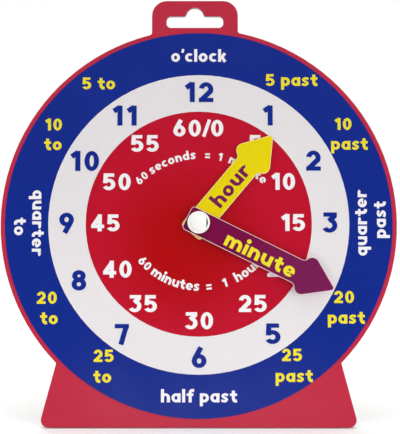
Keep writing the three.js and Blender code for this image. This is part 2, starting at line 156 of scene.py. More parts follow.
def calculated(tree, operation, *values):
    node = tree.nodes.new("ShaderNodeMath")
    node.operation = operation
    for value, socket in zip(values, node.inputs):
        tree.links.new(value, socket)
    return node.outputs["Value"]


# Materials. The scale of a noise is about how many of its features there are to a metre.

WAVE_PER_METRE = math.pi / 10   # a wave texture's scale for one band to a metre


class Finish:
    """A node material built round one Principled shader, in object coordinates."""

    def __init__(self, name, colour, roughness):
        """The roughness holds all over, unless vary_roughness is called."""
        self.material = bpy.data.materials.new(name)
        self.material.use_nodes = True
        self.tree = self.material.node_tree
        self.nodes, self.links = self.tree.nodes, self.tree.links
        self.shader = self.nodes["Principled BSDF"]
        self.coordinates = self.nodes.new("ShaderNodeTexCoord").outputs["Object"]
        self.colour = linear(colour)
        self.colour_out = None
        self.bump_out = None
        self.shader.inputs["Base Color"].default_value = self.colour
        self.shader.inputs["Roughness"].default_value = roughness
        self.material.diffuse_color = self.colour

    def set(self, **sockets):
        for name, value in sockets.items():
            self.shader.inputs[name.replace("_", " ")].default_value = value

    def noise(self, scale, detail=3, stretch=None):
        node = self.nodes.new("ShaderNodeTexNoise")
        node.inputs["Scale"].default_value = scale
        node.inputs["Detail"].default_value = detail
        source = self.coordinates
        if stretch:
            mapping = self.nodes.new("ShaderNodeMapping")
            mapping.inputs["Scale"].default_value = stretch
            self.links.new(source, mapping.inputs["Vector"])
            source = mapping.outputs["Vector"]
        self.links.new(source, node.inputs["Vector"])
        return node.outputs["Fac"]

    def tint(self, mask, colour):
        """Lays another colour over what is there, where the mask is one."""
        node = self.nodes.new("ShaderNodeMix")
        node.data_type = "RGBA"
        # A mix node has sockets of every data type, and these are the ones for colours
        factor, under, over, mixed = node.inputs[0], node.inputs[6], node.inputs[7], node.outputs[2]
        under.default_value = self.colour
        if self.colour_out:
            self.links.new(self.colour_out, under)
        over.default_value = linear(colour) if isinstance(colour, str) else colour
        self.links.new(mask, factor)
        self.links.new(mixed, self.shader.inputs["Base Color"])
        self.colour_out = mixed

    def mottle(self, scale, amount, detail=3, stretch=None):
        """Lightens and darkens the colour a little in soft patches."""
        value = self.noise(scale, detail, stretch)
        self.tint(remapped(self.tree, value, low=0.52, high=0.8), lightened(self.colour, amount))
        self.tint(remapped(self.tree, value, low=0.48, high=0.2), darkened(self.colour, amount))

    def bump(self, height, strength, depth):
        node = self.nodes.new("ShaderNodeBump")
        node.inputs["Strength"].default_value = strength
        node.inputs["Distance"].default_value = depth
        self.links.new(height, node.inputs["Height"])
        if self.bump_out:
            self.links.new(self.bump_out, node.inputs["Normal"])
        self.bump_out = node.outputs["Normal"]
        self.links.new(self.bump_out, self.shader.inputs["Normal"])

    def vary_roughness(self, scale, low, high):
        value = self.noise(scale, detail=4)
        roughness = remapped(self.tree, value, low=0.3, high=0.7, to_low=low, to_high=high)
        self.links.new(roughness, self.shader.inputs["Roughness"])

    def weave(self, pitch):
        """Height of a plain weave: two crossed sets of threads."""
        heights = []
        for direction in ("X", "Y"):
            wave = self.nodes.new("ShaderNodeTexWave")
            wave.bands_direction = direction
            wave.inputs["Scale"].default_value = WAVE_PER_METRE / pitch
            wave.inputs["Distortion"].default_value = 0.6
            wave.inputs["Detail Scale"].default_value = 2
            self.links.new(self.coordinates, wave.inputs["Vector"])
            heights.append(wave.outputs["Fac"])
        return calculated(self.tree, "MULTIPLY", *heights)

    def measured(self, operation, source, vector):
        """A distance from a fixed vector, or a dot product with it."""
        node = self.nodes.new("ShaderNodeVectorMath")
        node.operation = operation
        node.inputs[1].default_value = vector
        self.links.new(source, node.inputs[0])
        return node.outputs["Value"]

    def near(self, point, inner, outer):
        """One close to a point, zero further off, with a soft change between two distances."""
        distance = self.measured("DISTANCE", self.coordinates, point)
        return remapped(self.tree, distance, inner, outer, to_low=1, to_high=0)

    def low_down(self, full, none):
        """One below a height out of the board's front, zero above another."""
        height = self.measured("DOT_PRODUCT", self.coordinates, outward)
        front = dial_centre.dot(outward)
        return remapped(self.tree, height, front + full, front + none, to_low=1, to_high=0)

    def side_mask(self):
        """One on the cut sides of a flat sheet that faces out of the board, zero on its faces."""
        normal = self.nodes.new("ShaderNodeNewGeometry").outputs["Normal"]
        facing = calculated(self.tree, "ABSOLUTE", self.measured("DOT_PRODUCT", normal, outward))
        return remapped(self.tree, facing, low=0.6, high=0.4)


def printed(name, colour, amount=0.06):
    """Ink under a gloss laminate: faint mottling, orange peel and long soft waves."""
    finish = Finish(name, colour, roughness=0.3)
    finish.mottle(scale=900, amount=amount, detail=2)
    finish.mottle(scale=38, amount=amount * 0.7, detail=4)
    finish.vary_roughness(scale=60, low=0.13, high=0.21)
    finish.bump(finish.noise(scale=420, detail=2), strength=0.05, depth=0.15 * mm)
    finish.bump(finish.noise(scale=26, detail=2), strength=0.12, depth=0.6 * mm)
    finish.set(Specular_IOR_Level=0.1)
    return finish


def centre_print():
    """The centre's red, with painted shade: deeper round the rivet, most to its lower left."""
    finish = printed("centre_red_print", CENTRE_RED)
    shade_middle = on_board(-8 * mm, -12 * mm, 0)
    finish.tint(finish.near(shade_middle, inner=18 * mm, outer=50 * mm), SHADED_RED)
    return finish


def laminated(name, colour, shaded=None):
    """A printed sheet whose cut sides show the white paper. It may have painted shade, deeper near the
    rivet.
    """
    finish = printed(name, colour)
    if shaded:
        # painted shade round the rivet
        finish.tint(finish.near(dial_centre, inner=26 * mm, outer=58 * mm), shaded)
    finish.tint(finish.side_mask(), PAPER_WHITE)
    return finish


def board_stock(name, colour, roughness=0.88):
    """Pressed pulp: short fibres, darker specks and a matt, slightly rough face."""
    finish = Finish(name, colour, roughness)
    finish.mottle(scale=140, amount=0.07, detail=5)
    finish.mottle(scale=1500, amount=0.09, detail=2, stretch=(1, 1, 3))
    speck = remapped(finish.tree, finish.noise(scale=620, detail=1), low=0.7, high=0.78, to_high=0.5)
    finish.tint(speck, darkened(finish.colour, 0.45))
    finish.bump(finish.noise(scale=1100), strength=0.25, depth=0.12 * mm)
    return finish


def paper(name, colour):
    """Uncoated paper, a little cockled where it was glued down."""
    finish = Finish(name, colour, roughness=0.8)
    finish.mottle(scale=55, amount=0.035, detail=4)
    finish.mottle(scale=1300, amount=0.04)
    finish.bump(finish.noise(scale=900, detail=4), strength=0.18, depth=0.08 * mm)
    finish.bump(finish.noise(scale=30, detail=2), strength=0.1, depth=0.5 * mm)
    finish.vary_roughness(scale=90, low=0.72, high=0.88)
    return finish


def moulded(name, colour):
    """White moulded plastic with a soft gloss and faint flow marks."""
    finish = Finish(name, colour, roughness=0.34)
    finish.mottle(scale=300, amount=0.02)
    finish.vary_roughness(scale=500, low=0.28, high=0.42)
    finish.bump(finish.noise(scale=1500, detail=2), strength=0.06, depth=0.05 * mm)
    finish.set(Subsurface_Weight=0.08, Subsurface_Scale=1 * mm, Specular_IOR_Level=0.5)
    return finish


def rivet_head():
    """The head has painted shade, darker low down: in the deep part of its groove and under its rim."""
    finish = moulded("rivet_head_plastic", RIVET)
    finish.tint(finish.low_down(full=4.7 * mm, none=5.45 * mm), GROOVE_SHADE)
    return finish


def cloth(name, colour, pitch):
    """A plain weave, with painted shade between its threads."""
    finish = Finish(name, colour, roughness=0.9)
    height = finish.weave(pitch)
    gap_shade = remapped(finish.tree, height, low=0.2, high=0, to_high=0.5)
    finish.tint(gap_shade, darkened(finish.colour, 0.5))
    finish.mottle(scale=260, amount=0.12, detail=4)
    finish.bump(height, strength=0.6, depth=0.15 * mm)
    finish.set(Sheen_Weight=0.25, Sheen_Roughness=0.5)
    return finish


finishes = {
    "core_board": board_stock("grey_board", CORE_GREY),
    "face_sheet": laminated("red_print", GROUND_RED),
    "blue_ring_print": printed("blue_print", RING_BLUE, amount=0.05),
    "white_ring_print": printed("white_print", PAPER_WHITE, amount=0.012),
    "red_disc_print": centre_print(),
    "numeral": printed("numeral_blue_print", RING_BLUE, amount=0.04),
    "hour_hand_print": laminated("yellow_print", HAND_YELLOW),
    "minute_hand_print": laminated("purple_print", HAND_PURPLE, SHADED_PURPLE),
    "hour_card": board_stock("hour_hand_card", HOUR_CARD, roughness=0.8),
    "minute_card": board_stock("minute_hand_card", MINUTE_CARD, roughness=0.8),
    "back_lining": paper("lining_paper", LINING),
    "patch": paper("patch_paper", RIBBON),
    "strut": board_stock("strut_board", STRUT),
    "rivet": moulded("rivet_plastic", RIVET),
    "rivet_head": rivet_head(),
    "washer": moulded("washer_plastic", WASHER),
    "tape": cloth("hinge_cloth", TAPE, pitch=0.5 * mm),
    "ribbon": cloth("ribbon_cloth", RIBBON, pitch=0.4 * mm),
    "white_word": printed("white_words", WORD_WHITE, amount=0.02),
    "yellow_word": printed("yellow_words", WORD_YELLOW, amount=0.03),
    "purple_word": printed("purple_words", HAND_PURPLE, amount=0.03),
}


def dress(piece, finish):
    piece.data.materials.clear()
    piece.data.materials.append(finishes[finish].material)


def new_piece(name, mesh, finish, body):
    """A piece without a body here may be given one after it is made."""
    piece = bpy.data.objects.new(name, mesh)
    bpy.context.scene.collection.objects.link(piece)
    dress(piece, finish)
    if body:
        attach(piece, body)
    return piece


def mesh_from(shape, name, sharp_angle=None):
    """Ends a mesh under construction. With an angle in degrees, only sharper edges show."""
    mesh = bpy.data.meshes.new(name)
    bmesh.ops.recalc_face_normals(shape, faces=shape.faces)
    if sharp_angle:
        for face in shape.faces:
            face.smooth = True
        for edge in shape.edges:
            edge.smooth = len(edge.link_faces) == 2 and edge.calc_face_angle() < math.radians(sharp_angle)
    shape.to_mesh(mesh)
    shape.free()
    return mesh


# Card with pressed rims: a packed slab again, with its sharp edges rounded

HAND_RIM = 0.18 * mm
CORE_RIM = 0.25 * mm
STRUT_RIM = 0.3 * mm
SLAB_CORNER = 0.002 * mm           # corners of a packed slab that lie closer than this are one
FLAT_ANGLE = math.radians(0.5)     # faces that meet at less are one face
EDGE_ANGLE = math.radians(60)      # faces that meet at more have a rim between them


def softened(node, finish, body, rim, segments=2):
    shape = bmesh.new()
    shape.from_mesh(frame["nodes"][node].data)
    bmesh.ops.remove_doubles(shape, verts=shape.verts, dist=SLAB_CORNER)
    bmesh.ops.dissolve_limit(shape, angle_limit=FLAT_ANGLE, verts=shape.verts, edges=shape.edges)
    sharp = [e for e in shape.edges if len(e.link_faces) == 2 and e.calc_face_angle() > EDGE_ANGLE]
    bmesh.ops.bevel(shape, geom=sharp, offset=rim, segments=segments, profile=0.5,
                    affect="EDGES", clamp_overlap=False)
    mesh = mesh_from(shape, node, sharp_angle=12)
    piece = new_piece(f"{node}_pressed", mesh, finish, body)
    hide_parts(node)


softened("core_board", "core_board", "board", CORE_RIM, segments=3)
softened("hour_hand_card", "hour_card", "hour_hand", HAND_RIM)
softened("minute_hand_card", "minute_card", "minute_hand", HAND_RIM)
softened("strut_plate", "strut", "board", STRUT_RIM, segments=3)
softened("strut_leg", "strut", "strut_leg", STRUT_RIM, segments=3)


# Flat paths, which turned pieces, cloth and lettering share

CORNER_STEPS = 6


def rounded_corner(before, corner, after, rounding):
    """Points on the arc that takes a corner's place, from one side of it to the other."""
    a = (before - corner).normalized() * rounding
    b = (after - corner).normalized() * rounding
    shares = [k / CORNER_STEPS for k in range(CORNER_STEPS + 1)]
    return [corner + a * (1 - t) ** 2 + b * t ** 2 for t in shares]


def directions(points):
    """The way that a path runs at each of its points."""
    befores = points[:1] + points[:-1]
    afters = points[1:] + points[-1:]
    return [(after - before).normalized() for before, after in zip(befores, afters)]


# Turned pieces: a profile of (radius, height) carried round the rivet's axis. It ends on
# the axis at both ends, or else it is closed. Its sizes are millimetres, and heights are
# out of the front of the board's core.

TURN_STEPS = 96


def rounded_profile(corners):
    """A profile whose corners, given as (radius, height, rounding), are turned to arcs."""
    points = []
    for i, (r, h, rounding) in enumerate(corners):
        if rounding == 0:
            points.append((r, h))
            continue
        before = Vector(corners[i - 1][:2])
        after = Vector(corners[(i + 1) % len(corners)][:2])
        points += [tuple(point) for point in rounded_corner(before, Vector((r, h)), after, rounding)]
    return points


def turned(node, name, profile, finish, reshape=None):
    """Reshape, where given, takes a profile's point and the angle it is carried to."""
    shape = bmesh.new()
    rings = []
    for radius, out in profile:
        count = TURN_STEPS if radius else 1
        ring = []
        for i in range(count):
            angle = 2 * math.pi * i / count
            r, h = reshape(radius, out, angle) if reshape else (radius, out)
            x, y = r * mm * math.cos(angle), r * mm * math.sin(angle)
            ring.append(shape.verts.new(on_board(x, y, h * mm)))
        rings.append(ring)
    loops = rings + ([rings[0]] if len(rings[0]) > 1 else [])
    for one, two in zip(loops, loops[1:]):
        for i in range(TURN_STEPS):
            j = (i + 1) % TURN_STEPS
            corners = [one[i % len(one)], one[j % len(one)], two[j % len(two)], two[i % len(two)]]
            corners = list(dict.fromkeys(corners))
            if len(corners) > 2:
                shape.faces.new(corners)
    piece = new_piece(name, mesh_from(shape, name, sharp_angle=40), finish, "board")
    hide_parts(node)


# The rivet's head: a stem that snaps into the socket, and a low cap on a rim
STEM_RADIUS, STEM_END = 1.85, -3.8
BARB_RADIUS, BARB_TIP_RADIUS = 2.25, 1.5
BARB_FLOOR, BARB_TOP = -3, -2.15
HEAD_RADIUS, HEAD_BASE = 6.25, 4.55
UNDERCUT, UNDERCUT_RISE = 0.65, 0.5
CAP_RADIUS, CAP_RISE = 4.85, 1.2
CAP_STEPS = 24
CAP_SHOULDER = 2.4          # two would make the cap's profile an ellipse
GROOVE_TOP, GROOVE_FLOOR = 5.7, 5.5
GROOVE_INNER, GROOVE_OUTER = CAP_RADIUS + 0.05, CAP_RADIUS + 0.3
GROOVE_FLARE = 0.05         # how much wider the groove is at its top
NOTCH_HALF_ANGLE = 36       # degrees
NOTCH_DEPTH, NOTCH_WIDTH = 0.85, 0.7
# The gate mark on the cap's top: (radius, how deep), within a radius that the dome stops at
GATE_REACH = 0.9
GATE_MARK = [(0.75, 0.02), (0.62, 0.1), (0.3, 0.08), (0, 0.08)]

# The rivet's socket: a tube on a flange, with a catch inside for the stem's barb
SOCKET_BORE, SOCKET_RADIUS, SOCKET_TOP = 2.1, 3, 4.5
FLANGE_RADIUS, FLANGE_REAR, FLANGE_FRONT = 6.5, -4.4, -3
CATCH_TOP, CATCH_DEPTH = -1.8, 0.35

WASHER_BORE, WASHER_THICKNESS = 3.12, 0.6


def head_profile():
    """The cap is ringed by a groove inside an undercut rim, and has a gate mark on top."""
    stem = [(0, STEM_END, 0), (BARB_TIP_RADIUS, STEM_END, 0.2), (BARB_RADIUS, BARB_FLOOR, 0.15),
            (STEM_RADIUS, BARB_TOP, 0.1), (STEM_RADIUS, HEAD_BASE, 0.2)]
    rim = [(HEAD_RADIUS - UNDERCUT, HEAD_BASE, 0.1), (HEAD_RADIUS, HEAD_BASE + UNDERCUT_RISE, 0.15),
           (HEAD_RADIUS, GROOVE_TOP, 0.35), (GROOVE_OUTER + GROOVE_FLARE, GROOVE_TOP, 0.08)]
    groove = [(GROOVE_OUTER, GROOVE_FLOOR, 0), (GROOVE_INNER, GROOVE_FLOOR, 0)]
    cap = []
    for i in range(CAP_STEPS + 1):
        radius = CAP_RADIUS * math.cos(i / CAP_STEPS * math.pi / 2)
        if radius > GATE_REACH:
            height = (1 - (radius / CAP_RADIUS) ** CAP_SHOULDER) ** 0.5
            cap.append((radius, GROOVE_TOP + CAP_RISE * height))
    gate = [(radius, GROOVE_TOP + CAP_RISE - depth) for radius, depth in GATE_MARK]
    return rounded_profile(stem + rim + groove) + cap + gate


def pry_notch(radius, out, angle):
    """Deepens and widens the groove on the head's right, where the cap can be pried off."""
    bearing = math.degrees(math.atan2(math.sin(angle), math.cos(angle)))
    share = math.sqrt(max(0, 1 - abs(bearing) / NOTCH_HALF_ANGLE))
    if out > HEAD_BASE and radius <= GROOVE_INNER:
        radius = min(radius, GROOVE_INNER - NOTCH_WIDTH * share)
    if out == GROOVE_FLOOR:
        out -= NOTCH_DEPTH * share
    return radius, out


def socket_profile():
    catch_radius = SOCKET_BORE + CATCH_DEPTH
    tube = [(SOCKET_BORE, FLANGE_REAR, 0.2), (FLANGE_RADIUS, FLANGE_REAR, 0.4),
            (FLANGE_RADIUS, FLANGE_FRONT, 0.15), (SOCKET_RADIUS, FLANGE_FRONT, 0),
            (SOCKET_RADIUS, SOCKET_TOP, 0.2), (SOCKET_BORE, SOCKET_TOP, 0.2)]
    catch = [(SOCKET_BORE, CATCH_TOP, 0), (catch_radius, CATCH_TOP - CATCH_DEPTH, 0),
             (catch_radius, FLANGE_REAR + CATCH_DEPTH, 0)]
    return rounded_profile(tube + catch)


def washer_profile(node):
    offsets = [vertex.co - dial_centre for vertex in frame["nodes"][node].data.vertices]
    radius = max((offset - outward * offset.dot(outward)).length for offset in offsets) / mm
    rear = back_of(node) / mm
    front = rear + WASHER_THICKNESS
    return rounded_profile([(WASHER_BORE, rear, 0.12), (radius, rear, 0.2),
                            (radius, front, 0.2), (WASHER_BORE, front, 0.12)])


turned("rivet_head", "rivet_head_turned", head_profile(), "rivet_head", pry_notch)
turned("rivet_socket", "rivet_socket_turned", socket_profile(), "rivet")
for washer in ("dial_washer", "hand_washer", "back_washer"):
    turned(washer, f"{washer}_moulded", washer_profile(washer), "washer")


# Cloth: strips that follow a path in the plane square to the hinge. Its points are (up the
# board, out of the board), each with the direction that the strip's outer face looks.

WANDER_STEP = 1.7                   # radians of an edge's wander from one row to the next
WANDER_APART = 3                    # radians between the wander of the two edges
EDGE_POWER, EDGE_LOSS = 14, 0.7     # how late and how far a strip thins toward its edges


def strip(name, path, width, thickness, finish, columns, wander):
    """A strip of cloth, closed all round, with soft edges that wander a little."""
    shape = bmesh.new()
    sections = []
    for row, (point, facing) in enumerate(path):
        ring = []
        for side in (1, -1):
            for i in range(columns + 1):
                share = i / columns if side > 0 else 1 - i / columns
                to_edge = abs(2 * share - 1)
                phase = row * WANDER_STEP + (WANDER_APART if share > 0.5 else 0)
                x = (share - 0.5) * width + wander * math.sin(phase) * to_edge
                place = point + facing * side * thickness / 2 * (1 - to_edge ** EDGE_POWER * EDGE_LOSS)
                ring.append(shape.verts.new(on_board(x, place.x, place.y)))
        sections.append(ring)
    count = len(sections[0])
    for one, two in zip(sections, sections[1:]):
        for i in range(count):
            j = (i + 1) % count
            shape.faces.new([one[i], one[j], two[j], two[i]])
    for ring in (sections[0], sections[-1]):
        for i in range(columns):
            shape.faces.new([ring[i], ring[i + 1], ring[count - 2 - i], ring[count - 1 - i]])
    return new_piece(name, mesh_from(shape, name, sharp_angle=50), finish, None)


def lean_of(node):
    """The angle between the board and a flat slab, from the slab's largest face."""
    largest = max(frame["nodes"][node].data.polygons, key=lambda face: face.area)
    return math.acos(abs(largest.normal.dot(outward)))


crease = Vector(joints["strut_fold"]["pos_m"])
crease_up = (crease - dial_centre).dot(upward)
crease_out = (crease - dial_centre).dot(outward)
crease_at = Vector((crease_up, crease_out))
opening = lean_of("strut_leg")
board_up, board_rear = Vector((1, 0)), Vector((0, -1))
leg_along = Vector((-math.cos(opening), -math.sin(opening)))
leg_rear = Vector((math.sin(opening), -math.cos(opening)))

TAPE_THICKNESS = 0.28 * mm
TAPE_LIFT = 0.2 * mm            # from the strut's boards to the middle of the tape's thickness
TAPE_SWELL = 1.2                # how many times that lift the tape has at the crease
TAPE_ROWS, TAPE_COLUMNS = 26, 48
TAPE_WANDER = 0.12 * mm
CREASE_CLEARANCE = 0.4 * mm     # no row but the middle one is nearer to the crease


def tape_half(along, rear, reach):
    """Half of the tape's path, from the crease to its end."""
    distances = [reach * i / TAPE_ROWS for i in range(TAPE_ROWS + 1)]
    return [(crease_at + along * distance + rear * TAPE_LIFT, rear)
            for distance in distances if distance > CREASE_CLEARANCE]


def add_hinge_tape():
    """Glued down over both of the strut's boards, it bends where they meet."""
    reach = span("hinge_tape_upper", upward, crease)[1]
    upper = tape_half(board_up, board_rear, reach)
    lower = tape_half(leg_along, leg_rear, reach)
    facing = (board_rear + leg_rear).normalized()
    middle = (crease_at + facing * TAPE_LIFT * TAPE_SWELL, facing)
    tape = strip("hinge_tape", upper[::-1] + [middle] + lower, width_of("hinge_tape_upper"),
                 TAPE_THICKNESS, "tape", TAPE_COLUMNS, TAPE_WANDER)
    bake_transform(tape)
    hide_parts("hinge_tape_upper", "hinge_tape_lower")


RIBBON_THICKNESS = 0.3 * mm
BOARD_GLUE, LEG_GLUE = 0.03 * mm, 0.04 * mm     # from the ribbon's face to its patches
RIBBON_FLAP, RIBBON_BEND = 5.5 * mm, 0.8 * mm
RIBBON_ROWS, RIBBON_COLUMNS = 30, 18
RIBBON_WANDER = 0.05 * mm


def add_tie_ribbon():
    """Glued down over each patch, it runs straight between them."""
    leg_front = -leg_rear
    leg_face = span("ribbon_patch_leg", upward * leg_front.x + outward * leg_front.y, crease)[1]
    leg_lift = leg_face + LEG_GLUE + RIBBON_THICKNESS / 2
    board_face = back_of("ribbon_patch_board") - BOARD_GLUE - RIBBON_THICKNESS / 2
    reach = sum(span("ribbon_patch_board", -upward, crease)) / 2
    start = Vector((crease_up - reach, board_face))
    end = crease_at + leg_along * reach + leg_front * leg_lift
    foot = start - board_up * RIBBON_FLAP
    head = end + leg_along * RIBBON_FLAP
    points = [foot] + rounded_corner(foot, start, end, RIBBON_BEND)
    points += [start + (end - start) * (k / RIBBON_ROWS) for k in range(1, RIBBON_ROWS)]
    points += rounded_corner(start, end, head, RIBBON_BEND) + [head]
    path = [(point, Vector((-along.y, along.x))) for point, along in zip(points, directions(points))]
    ribbon = strip("tie_ribbon_woven", path, width_of("tie_ribbon"),
                   RIBBON_THICKNESS, "ribbon", RIBBON_COLUMNS, RIBBON_WANDER)
    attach(ribbon, "board")
    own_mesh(ribbon)
    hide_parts("tie_ribbon")


add_hinge_tape()
add_tie_ribbon()


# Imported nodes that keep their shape

for node_name in ("face_sheet", "blue_ring_print", "white_ring_print", "red_disc_print",
                  "hour_hand_print", "minute_hand_print", "back_lining"):
    dress(frame["nodes"][node_name], node_name)
for node_name, node_object in frame["nodes"].items():
    if node_name.startswith("hour_numeral"):
        dress(node_object, "numeral")
    if node_name.startswith("ribbon_patch"):
        dress(node_object, "patch")


# Lettering: strokes with square ends, a little thinner where they run level. A letter's
# shares are of its x-height, and a digit's of its own height. Each entry is (width,
# strokes). A stroke is a line or a curve through points, a level bar, or a bend (x, y,
# rx, ry, from, to) in degrees. A dot is a small whole bend. The first word of a stroke's
# kind gives its thickness: a bend has one for its upright parts and one for its level ones.

LETTER_STROKES = {"line": 0.34, "curve": 0.34, "bar": 0.27, "thin": 0.17, "bend": (0.34, 0.28),
                  "dot": (0.2, 0.2)}
DIGIT_STROKES = {"line": 0.25, "bar": 0.2, "bend": (0.25, 0.2)}
LETTER_GAP = 0.17
DIGIT_GAP = 0.19
WORD_GAP = 0.48
CAP_SHARE = 1.36            # a digit's height in a word, over the letters' x-height
ARC_DIGIT_SHARE = 1.22      # the same in the arcs of small words
BEND_STEP = 8               # degrees, or a little less
CURVE_STEPS = 6
SAME_POINT_SHARE = 0.0001   # corners of strokes that lie closer than this are joined
INSIDE_ONLY = 1             # asks for the triangles inside the strokes

# Letters: the middles of their left and right stems, and of the strokes at their base
left, mid, base_y = 0.17, 0.5, 0.14
right = 2 * mid - left
mid_y = 0.5
bowl_x, bowl_y = mid - left, mid_y - base_y
arch_y = 0.48
arch_rise = 1 - base_y - arch_y
arch = ("bend", (mid, arch_y, bowl_x, arch_rise, 0, 180))
loop = [("bend", (mid, mid_y, bowl_x, bowl_y, 80, 280)),
        ("bend", (mid, mid_y, bowl_x, bowl_y, -100, 100))]
# The m's arches: the first is narrower by this much, and each starts where the last one ends
squeeze = 0.1
m_middle, m_right = right - squeeze, 2 * right - left - squeeze


def stem(x, bottom, top):
    return ("line", [(x, bottom), (x, top)])


letter_shares = {
    "o": (1, loop),
    "c": (0.86, [("bend", (mid, mid_y, bowl_x, bowl_y, 46, 314))]),
    "e": (0.98, [("bend", (mid, mid_y, bowl_x, bowl_y, -6, 318)),
                 ("thin", [(0.1, 0.47), (0.99, 0.47)])]),
    "a": (1, loop + [stem(right, 0, 1)]),
    "d": (1, loop + [stem(right, 0, 1.44)]),
    "q": (1, loop + [stem(right, -0.42, 1)]),
    "p": (1, loop + [stem(left, -0.42, 1)]),
    "l": (0.34, [stem(left, 0, 1.46)]),
    "i": (0.34, [stem(left, 0, 1), ("dot", (left, 1.32, 0.105, 0.105, 0, 360))]),
    "h": (1, [stem(left, 0, 1.46), arch, stem(right, 0, arch_y)]),
    "n": (1, [stem(left, 0, 1), arch, stem(right, 0, arch_y)]),
    "m": (1.56, [stem(left, 0, 1), stem(m_middle, 0, arch_y), stem(m_right, 0, arch_y),
                 ("bend", (mid - squeeze / 2, arch_y, bowl_x - squeeze / 2, arch_rise, 0, 180)),
                 ("bend", (m_right - bowl_x, arch_y, bowl_x, arch_rise, 0, 180))]),
    "u": (1, [stem(left, 1 - arch_y, 1), stem(right, 0, 1),
              ("bend", (mid, 1 - arch_y, bowl_x, arch_rise, 180, 360))]),
    "r": (0.78, [stem(left, 0, 1), ("bend", (mid, arch_y, bowl_x, arch_rise, 44, 180))]),
    "s": (0.82, [("bar curve", [(0.76, 0.76), (0.58, 0.86), (0.34, 0.86), (0.17, 0.7), (0.4, 0.51),
                                (0.65, 0.32), (0.48, 0.14), (0.24, 0.14), (0.04, 0.24)])]),
    "t": (0.8, [("curve", [(0.38, 1.3), (0.38, 0.8), (0.38, 0.42), (0.52, 0.17), (0.78, 0.16)]),
                ("bar", [(0, 0.85), (0.78, 0.85)])]),
    "f": (0.8, [("curve", [(0.38, 0), (0.38, 0.6), (0.38, 1.05), (0.52, 1.29), (0.82, 1.3)]),
                ("bar", [(0, 0.85), (0.74, 0.85)])]),
    "k": (0.94, [stem(left, 0, 1.46), ("line", [(0.3, 0.36), (0.78, 1)]),
                 ("line", [(0.38, 0.62), (0.8, 0)])]),
    "'": (0.24, [("bar", [(0.1, 1.05), (0.2, 1.48)])]),
    "=": (0.8, [("bar", [(0.02, 0.26), (0.78, 0.26)]), ("bar", [(0.02, 0.74), (0.78, 0.74)])]),
    "/": (0.72, [("bar", [(0.12, -0.02), (0.6, 1.38)])]),
}

# Digits: how far the middles of their strokes keep from their sides and from their base
wide, one_wide = 0.72, 0.5
side, low = 0.125, 0.1
high, centre_x, bowl = 1 - low, wide / 2, wide / 2 - side


def oval(x, y, rx, ry):
    return [("bend", (x, y, rx, ry, -10, 190)), ("bend", (x, y, rx, ry, 170, 370))]


digit_shares = {
    "0": (wide, oval(centre_x, 0.5, bowl, 0.4)),
    "1": (one_wide, [stem(one_wide - side, 0, 1), ("line", [(one_wide - side, 0.93), (0.07, 0.72)])]),
    "2": (wide, [("bend", (centre_x, 0.64, bowl, high - 0.64, -38, 170)),
                 ("line", [(0.6, 0.57), (0.13, low)]), ("bar", [(0, low), (wide, low)])]),
    "3": (wide, [("bar", [(0.04, high), (wide - 0.02, high)]),
                 ("line", [(0.62, high - 0.04), (0.3, 0.57)]),
                 ("bend", (0.33, 0.36, 0.265, 0.26, -150, 95))]),
    "4": (0.76, [stem(0.5, 0, 1), ("line", [(0.5, 0.88), (0.1, 0.3)]),
                 ("bar", [(0, 0.29), (0.76, 0.29)])]),
    "5": (wide, [("bar", [(0.1, high), (0.65, high)]), ("line", [(0.16, 1), (0.125, 0.42)]),
                 ("bend", (0.33, 0.34, 0.265, 0.24, -150, 140))]),
    "6": (wide, oval(centre_x, 0.34, bowl, 0.24) + [("line", [(0.15, 0.45), (0.45, 1)])]),
    "7": (wide, [("bar", [(0, high), (wide - 0.03, high)]), ("line", [(0.56, high), (0.3, 0)])]),
    "8": (wide, oval(centre_x, 0.72, bowl - 0.03, 0.18) + oval(centre_x, 0.31, bowl, 0.21)),
    "9": (wide, oval(centre_x, 0.66, bowl, 0.24) + [("line", [(wide - 0.15, 0.55), (wide - 0.45, 0)])]),
}


def smooth_through(points):
    """A soft curve through the given points."""
    ends = [points[0]] + points + [points[-1]]
    path = []
    for a, b, c, d in zip(ends, ends[1:], ends[2:], ends[3:]):
        for k in range(CURVE_STEPS):
            t = k / CURVE_STEPS
            path.append(tuple(0.5 * (2 * q + (r - p) * t + (2 * p - 5 * q + 4 * r - s) * t ** 2
                                     + (3 * q - p - 3 * r + s) * t ** 3)
                              for p, q, r, s in zip(a, b, c, d)))
    return path + [points[-1]]


def stroke_sides(kind, data, thickness):
    """Pairs of points along both sides of a stroke."""
    if kind in ("bend", "dot"):
        x, y, rx, ry, start, end = data
        count = math.ceil(abs(end - start) / BEND_STEP)
        sides = []
        for i in range(count + 1):
            angle = math.radians(start + (end - start) * i / count)
            cosine, sine = math.cos(angle), math.sin(angle)
            sides.append([Vector((x + (rx + sign * thickness[0] / 2) * cosine,
                                  y + (ry + sign * thickness[1] / 2) * sine)) for sign in (-1, 1)])
        return sides
    path = [Vector(point) for point in (smooth_through(data) if kind.endswith("curve") else data)]
    sides = []
    for point, along in zip(path, directions(path)):
        offset = Vector((along.y, -along.x)) * thickness / 2
        sides.append([point - offset, point + offset])
    return sides


def glyph(character):
    """A character's width, and its joined outline as flat triangles, in shares of its size."""
    is_digit = character in digit_shares
    width, strokes = (digit_shares if is_digit else letter_shares)[character]
    widths = DIGIT_STROKES if is_digit else LETTER_STROKES
    corners, faces = [], []
    for kind, data in strokes:
        sides = stroke_sides(kind, data, widths[kind.split()[0]])
        for a, b in zip(sides, sides[1:]):
            faces.append([len(corners) + i for i in range(4)])
            corners.extend([a[0], a[1], b[1], b[0]])
    joined = delaunay_2d_cdt(corners, [], faces, INSIDE_ONLY, SAME_POINT_SHARE)
    points, _, triangles, _, _, sources = joined
    return width, points, [triangle for triangle, source in zip(triangles, sources) if source]


glyphs = {character: glyph(character) for character in {**letter_shares, **digit_shares}}


